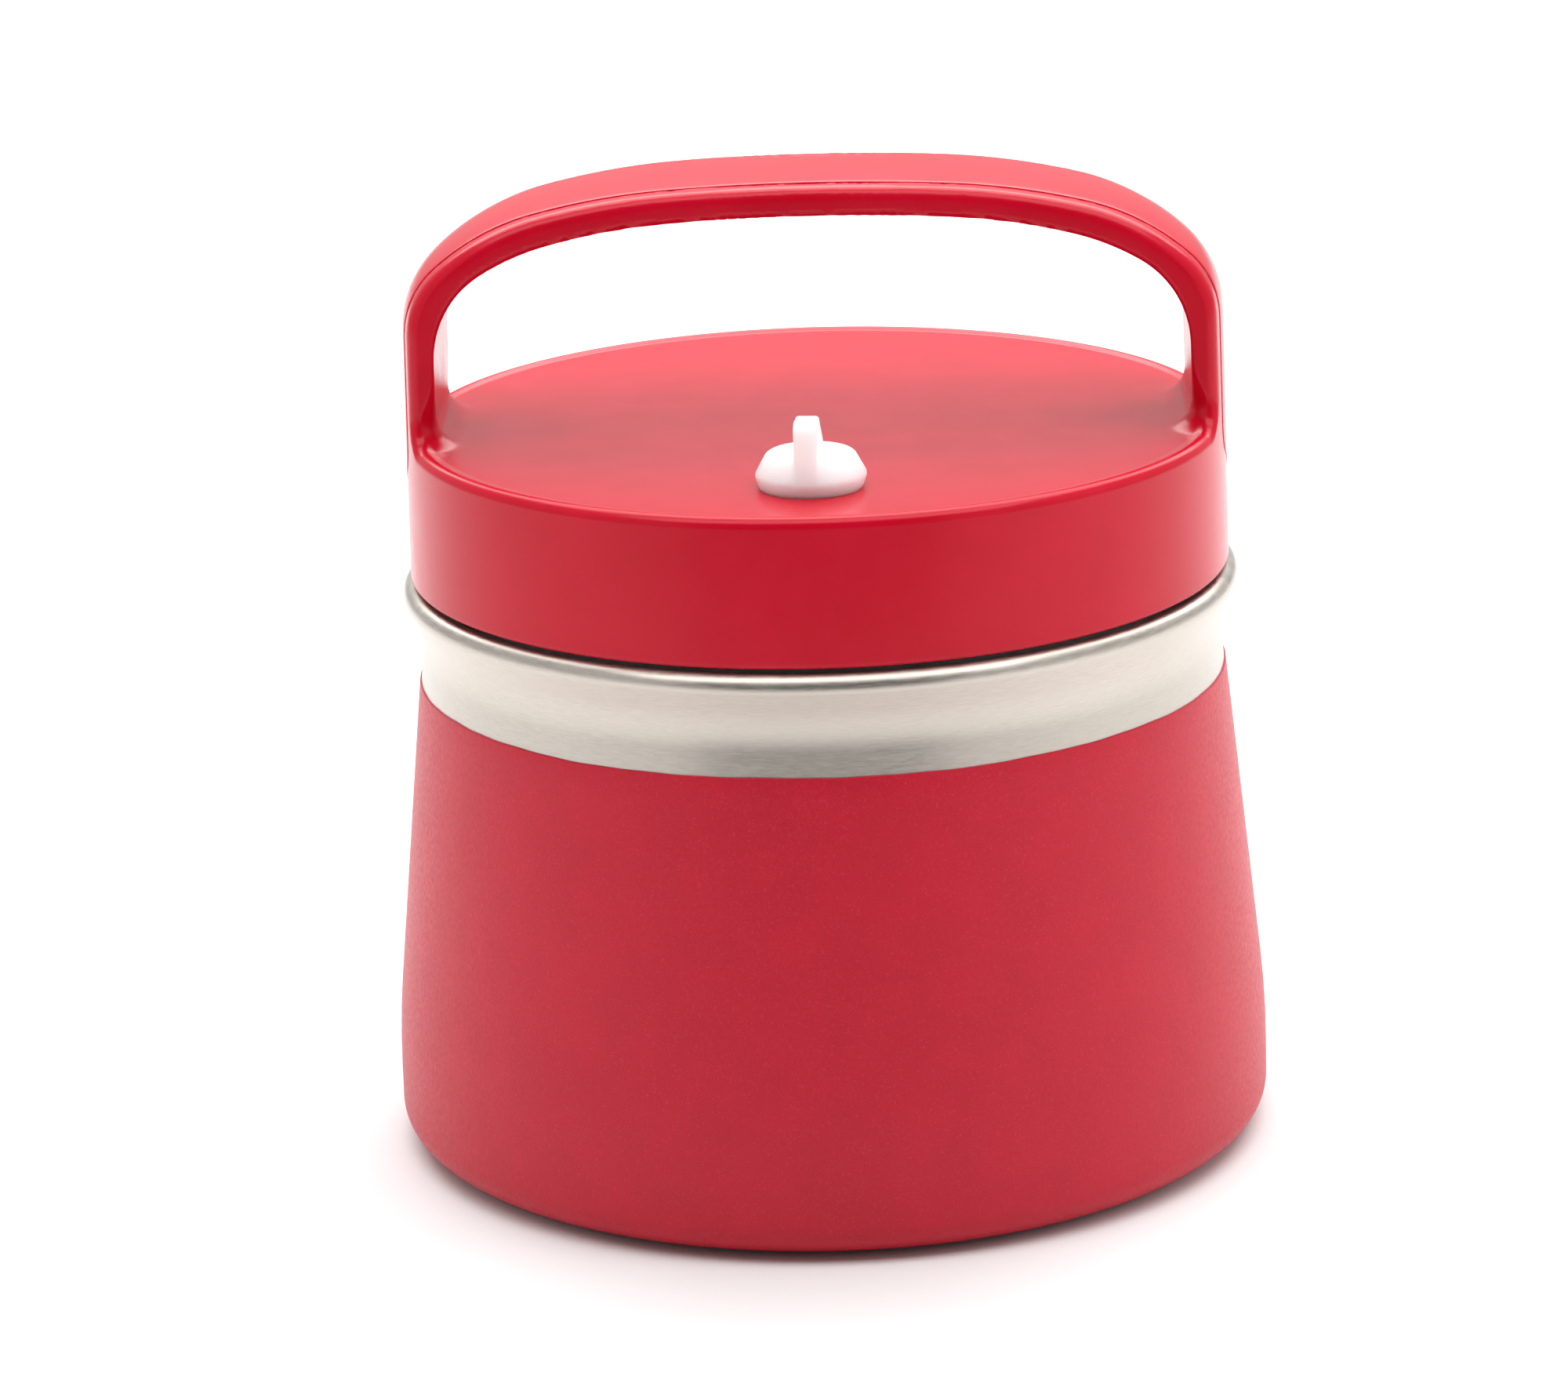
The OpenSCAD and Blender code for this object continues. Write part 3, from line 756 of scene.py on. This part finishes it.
class Look(Nodes):
    """A procedural material. Its textures run in mm in the object's own frame."""

    def __init__(self, name, metallic=0.0, **sockets):
        self.mat = bpy.data.materials.new(name)
        self.mat.use_nodes = True
        super().__init__(self.mat.node_tree)
        self.shader = self.tree.nodes["Principled BSDF"]
        self.shader.inputs["Metallic"].default_value = metallic
        for key, value in sockets.items():
            self.shader.inputs[key.replace("_", " ")].default_value = value
        where = self.node("ShaderNodeTexCoord")
        self.place = self.vector("MULTIPLY", where.outputs["Object"], (1 / MM,) * 3)

    def vector(self, op, a, b):
        n = self.node("ShaderNodeVectorMath", operation=op)
        self.put(n.inputs[0], a)
        self.put(n.inputs[1], b)
        return n.outputs[0]

    def noise(self, size, detail=2.0, rough=0.5, at=None):
        """Noise whose features are about size mm across, from 0 to 1."""
        n = self.node("ShaderNodeTexNoise")
        self.put(n.inputs["Vector"], self.place if at is None else at)
        n.inputs["Scale"].default_value = 1 / size
        n.inputs["Detail"].default_value = detail
        n.inputs["Roughness"].default_value = rough
        return n.outputs["Fac"]

    def mix(self, share, a, b):
        n = self.node("ShaderNodeMix", data_type="RGBA")
        self.put(n.inputs["Factor"], share)
        for socket, v in ((n.inputs[6], a), (n.inputs[7], b)):
            self.put(socket, v if isinstance(v, bpy.types.NodeSocket) else (*v, 1.0))
        return n.outputs[2]

    def turned(self, along, down):
        """Coordinates for marks that run round Z: scaled by along on the way round and by down across it."""
        parts = self.node("ShaderNodeSeparateXYZ")
        self.put(parts.inputs[0], self.place)
        x, y, z = parts.outputs
        angle = self.math("ARCTAN2", y, x)
        squares = self.math("ADD", self.math("MULTIPLY", x, x), self.math("MULTIPLY", y, y))
        across = self.math("ADD", z, self.math("MULTIPLY", self.math("SQRT", squares), RADIUS_SHARE))
        join = self.node("ShaderNodeCombineXYZ")
        self.put(join.inputs[0], self.math("MULTIPLY", self.math("COSINE", angle), along))
        self.put(join.inputs[1], self.math("MULTIPLY", self.math("SINE", angle), along))
        self.put(join.inputs[2], self.math("MULTIPLY", across, down))
        return join.outputs[0]

    def colour(self, value):
        self.put(self.shader.inputs["Base Color"], value)

    def rough(self, value):
        self.put(self.shader.inputs["Roughness"], value)

    def bump(self, *layers):
        """Layers of (height from 0 to 1, depth in mm)."""
        normal = None
        for height, depth in layers:
            n = self.node("ShaderNodeBump")
            n.inputs["Distance"].default_value = depth * MM
            self.put(n.inputs["Height"], height)
            if normal is not None:
                self.put(n.inputs["Normal"], normal)
            normal = n.outputs["Normal"]
        self.put(self.shader.inputs["Normal"], normal)


def powder_look():
    """Satin powder coat with a fine orange peel and small bright flakes."""
    k = Look("powder_coat_red", Specular_IOR_Level=0.33)
    tone = k.mix(k.span(k.noise(9, 3), 0.35, 0.65), (0.465, 0.0032, 0.020), (0.495, 0.0036, 0.022))
    grain = k.span(k.noise(0.42, 2, 0.6), 0.56, 0.72)
    tone = k.mix(k.math("MULTIPLY", grain, 0.18), tone, (0.76, 0.07, 0.12))
    pits = k.span(k.noise(0.5, 2, 0.6, k.vector("ADD", k.place, (31, 7, 3))), 0.58, 0.74)
    k.colour(k.mix(k.math("MULTIPLY", pits, 0.25), tone, (0.24, 0.004, 0.014)))
    k.rough(k.span(k.noise(0.8, 3), 0.3, 0.7, 0.36, 0.48))
    k.bump((k.noise(0.9, 3, 0.55), 0.030), (k.noise(0.28, 1), 0.012))
    return k.mat


def red_plastic_look(name, base, deep, rough):
    """Glossy moulded plastic with the slight unevenness of its mould."""
    k = Look(name, Specular_IOR_Level=0.24)
    k.colour(k.mix(k.span(k.noise(14, 3), 0.35, 0.65), base, deep))
    k.rough(k.span(k.noise(7, 2), 0.3, 0.7, rough - 0.015, rough + 0.02))
    k.bump((k.noise(11, 2), 0.010))
    return k.mat


def steel_look(name, base, dark, rough, along=26.0, down=5.0, anisotropic=0.6):
    """Steel brushed round the jar."""
    k = Look(name, 1.0, Anisotropic=anisotropic, Anisotropic_Rotation=0.25)
    tangent = k.node("ShaderNodeTangent", direction_type="RADIAL", axis="Z")
    k.put(k.shader.inputs["Tangent"], tangent.outputs[0])
    fine = k.noise(1.0, 4, 0.65, k.turned(along, down))
    broad = k.noise(1.0, 3, 0.5, k.turned(along * 0.12, down * 0.16))
    tone = k.mix(k.span(fine, 0.3, 0.7), dark, base)
    k.colour(k.mix(k.math("MULTIPLY", k.span(broad, 0.35, 0.7), 0.3), tone, tuple(0.86 * v for v in base)))
    k.rough(k.span(fine, 0.25, 0.75, rough - 0.07, rough + 0.1))
    k.bump((fine, 0.010))
    return k.mat


def soft_look(name, base, shade, rough, grain=0.5, depth=0.01, **sockets):
    """Rubber, silicone, foam and other soft or cast pieces."""
    k = Look(name, **sockets)
    k.colour(k.mix(k.span(k.noise(7, 4), 0.35, 0.65), base, shade))
    k.rough(k.span(k.noise(1.6, 3), 0.3, 0.7, rough - 0.05, rough + 0.06))
    k.bump((k.noise(grain, 3, 0.6), depth))
    return k.mat


# Each takes its main colour, a second one and its roughness, then the size and depth of its marks
LOOKS = {
    "red_powder": powder_look(),
    "red_plastic": red_plastic_look("lid_plastic_red",
                                    (0.495, 0.0016, 0.016), (0.525, 0.0020, 0.019), 0.22),
    "strap_plastic": red_plastic_look("strap_plastic_red",
                                      (0.545, 0.0020, 0.018), (0.58, 0.0024, 0.021), 0.24),
    "brushed_steel": steel_look("steel_brushed", (0.62, 0.57, 0.515), (0.49, 0.445, 0.395), 0.34),
    "liner_steel": steel_look("steel_liner", (0.74, 0.73, 0.71), (0.62, 0.61, 0.59), 0.24, 20.0, 3.0, 0.4),
    "inner_steel": steel_look("steel_inner", (0.66, 0.65, 0.63), (0.55, 0.54, 0.52), 0.34, 12.0, 2.0, 0.2),
    "copper_foil": steel_look("foil_copper", (0.85, 0.47, 0.30), (0.72, 0.37, 0.22), 0.22, 9.0, 1.2, 0.0),
    "solder_glass": soft_look("glass_solder", (0.035, 0.037, 0.042), (0.06, 0.062, 0.068), 0.18, 0.4, 0.006),
    "getter_metal": soft_look("metal_getter", (0.20, 0.20, 0.21), (0.30, 0.30, 0.31), 0.5, 0.25, 0.03,
                              metallic=0.9),
    "pad_rubber": soft_look("rubber_pad", (0.035, 0.034, 0.034), (0.055, 0.053, 0.052), 0.62, 0.3, 0.02),
    "pan_plastic": soft_look("plastic_pan", (0.66, 0.66, 0.65), (0.70, 0.70, 0.69), 0.36, 0.5, 0.006),
    "lid_foam": soft_look("foam_lid", (0.88, 0.86, 0.80), (0.80, 0.77, 0.70), 0.85, 0.9, 0.12),
    "gasket_silicone": soft_look("silicone_gasket", (0.80, 0.79, 0.76), (0.85, 0.84, 0.82), 0.42, 0.5, 0.008,
                                 Subsurface_Weight=0.15, Subsurface_Scale=0.002),
    "white_silicone": soft_look("silicone_vent",
                                (0.98, 0.975, 0.965), (0.965, 0.955, 0.945), 0.40, 0.6, 0.005,
                                Subsurface_Weight=1.0, Subsurface_Scale=0.008,
                                Subsurface_Radius=(1.0, 0.9, 0.85)),
}


def dress(obj, slot):
    """Gives the object its slot's look."""
    obj.data.materials.clear()
    obj.data.materials.append(LOOKS[slot])


# ---- Pieces ----

# Builder, body that it rides on, CAD node that it replaces, and slot
PIECES = [
    (outer_shell, "jar", "outer_shell", "brushed_steel"),
    (powder_coat, "jar", "powder_coat", "red_powder"),
    (inner_liner, "jar", "inner_liner", "liner_steel"),
    (liner_bottom, "jar", "liner_bottom", "liner_steel"),
    (vacuum_bottom, "jar", "vacuum_bottom", "inner_steel"),
    (base_cap, "jar", "base_cap", "inner_steel"),
    (foot_pad, "jar", "foot_pad", "pad_rubber"),
    (lid_gasket, "gasket", "lid_gasket", "gasket_silicone"),
    (lid_shell, "lid", "lid_shell", "red_plastic"),
    (handle_strap, "lid", "handle_strap", "strap_plastic"),
    (lid_pan, "lid", "lid_pan", "pan_plastic"),
    (vent_plug, "plug", "vent_plug", "white_silicone"),
]
# CAD pieces that are shown as they are: node and slot
KEPT = {"copper_foil": "copper_foil", "port_seal": "solder_glass", "getter_pill": "getter_metal",
        "getter_clip": "inner_steel", "lid_foam": "lid_foam"}

for build, body, node, slot in PIECES:
    piece = build()
    dress(piece, slot)
    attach(piece, body)
    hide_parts(node)
    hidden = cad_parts[node].data.materials
    hidden.clear()
    hidden.append(LOOKS[slot])
for node, slot in KEPT.items():
    dress(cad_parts[node], slot)


# ---- Stage: floor, light and camera ----

FLOOR_DROP = -0.02                   # height of the floor, just under the pad
TABLE_FADE = (-330, -560)            # Y at which it starts to fade from reflections, and where it is gone


def floor():
    """The pale floor, which mirrors see only near the object, as they would a small table."""
    half, n = 6000.0, 24
    line = np.linspace(-half, half, n + 1)
    verts = [(x, y, FLOOR_DROP) for x in line for y in line]
    idx = np.arange((n + 1) ** 2).reshape(n + 1, n + 1)
    faces = np.stack([idx[:-1, :-1], idx[1:, :-1], idx[1:, 1:], idx[:-1, 1:]], -1).reshape(-1, 4)
    obj = make("floor", verts, faces)
    k = Look("floor_pale", Specular_IOR_Level=0.1)
    k.colour(k.mix(k.span(k.noise(160, 3), 0.4, 0.6), (0.79, 0.79, 0.79), (0.81, 0.81, 0.81)))
    k.rough(0.9)
    k.bump((k.noise(2.0, 2), 0.02))
    parts = k.node("ShaderNodeSeparateXYZ")
    k.put(parts.inputs[0], k.place)
    ray = k.node("ShaderNodeLightPath")
    hide = k.math("MULTIPLY", ray.outputs["Is Glossy Ray"], k.span(parts.outputs[1], *TABLE_FADE))
    both = k.node("ShaderNodeMixShader")
    k.put(both.inputs[0], hide)
    k.put(both.inputs[1], k.shader.outputs[0])
    k.put(both.inputs[2], k.node("ShaderNodeBsdfTransparent").outputs[0])
    k.put(k.tree.nodes["Material Output"].inputs["Surface"], both.outputs[0])
    obj.data.materials.append(k.mat)


def softbox(name, place, aim, size, power, glossy=True):
    """A rectangular area light. Lengths are in metres and the power is in watts."""
    data = bpy.data.lights.new(name, "AREA")
    data.shape = "RECTANGLE"
    data.size, data.size_y = size
    data.energy = power
    obj = bpy.data.objects.new(name, data)
    bpy.context.scene.collection.objects.link(obj)
    obj.location = place
    obj.rotation_mode = "QUATERNION"
    obj.rotation_quaternion = (Vector(aim) - Vector(place)).to_track_quat("-Z", "Y")
    obj.visible_glossy = glossy


ROOM = 0.74                          # brightness of the room that reflections and shadows see
FRONT_ROOM = 0.085                   # of its darker part behind the camera
FRONT_HALF = 0.55                    # half the width of that part, as a share of the view's unit vector
BACKDROP = (0.97, 0.965, 0.965, 1)   # what the camera sees


def sky():
    """A white room, darker behind the camera."""
    world = bpy.data.worlds.new("studio")
    bpy.context.scene.world = world
    world.use_nodes = True
    k = Nodes(world.node_tree)
    k.tree.nodes.clear()
    parts = k.node("ShaderNodeSeparateXYZ")
    k.put(parts.inputs[0], k.node("ShaderNodeTexCoord").outputs["Generated"])
    x, y, _ = parts.outputs
    soft = {"interpolation_type": "SMOOTHSTEP"}
    wide = k.span(k.math("ABSOLUTE", x), FRONT_HALF - 0.05, FRONT_HALF + 0.05, 1.0, 0.0, **soft)
    front = k.math("MULTIPLY", wide, k.span(y, -0.3, 0.1, 1.0, 0.0, **soft))
    room = k.node("ShaderNodeBackground")
    k.put(room.inputs["Strength"], k.math("SUBTRACT", ROOM, k.math("MULTIPLY", front, ROOM - FRONT_ROOM)))
    seen = k.node("ShaderNodeBackground")
    k.put(seen.inputs["Color"], BACKDROP)
    mix = k.node("ShaderNodeMixShader")
    k.put(mix.inputs[0], k.node("ShaderNodeLightPath").outputs["Is Camera Ray"])
    k.put(mix.inputs[1], room.outputs[0])
    k.put(mix.inputs[2], seen.outputs[0])
    k.put(k.node("ShaderNodeOutputWorld").inputs[0], mix.outputs[0])


CAMERA_AT = (20.6, -980.2, 362.3)
CAMERA_WAY = (-0.0268, 0.9592, -0.2813)
CAMERA_ROLL = math.radians(1.8)
CAMERA_LENS = 137.08


def camera():
    """The photo's view: a long lens from the front, a little above the lid."""
    place = Vector(CAMERA_AT) * MM
    forward = Vector(CAMERA_WAY).normalized()
    right = forward.cross(Vector((0, 0, 1))).normalized()
    up = right.cross(forward)
    cos, sin = math.cos(CAMERA_ROLL), math.sin(CAMERA_ROLL)
    axes = Matrix((right * cos - up * sin, right * sin + up * cos, -forward)).transposed()
    data = bpy.data.cameras.new("camera")
    data.sensor_width = 36.0
    data.lens = CAMERA_LENS
    data.clip_start, data.clip_end = 0.05, 60.0
    obj = bpy.data.objects.new("camera", data)
    bpy.context.scene.collection.objects.link(obj)
    obj.matrix_world = Matrix.Translation(place) @ axes.to_4x4()
    bpy.context.scene.camera = obj


floor()
sky()
softbox("top_light", (0.05, -0.45, 1.45), (0, 0, 0.1), (2.2, 0.8), 18.5)
softbox("back_light", (0.05, 1.0, 1.45), (0, 0, 0.1), (2.6, 1.8), 52.0)
softbox("right_light", (1.5, -0.1, 0.65), (0, 0, 0.08), (0.9, 1.0), 5.8, glossy=False)
softbox("left_light", (-1.5, -0.1, 0.65), (0, 0, 0.08), (0.9, 1.0), 2.8, glossy=False)
camera()
bpy.context.scene.view_settings.view_transform = "Standard"
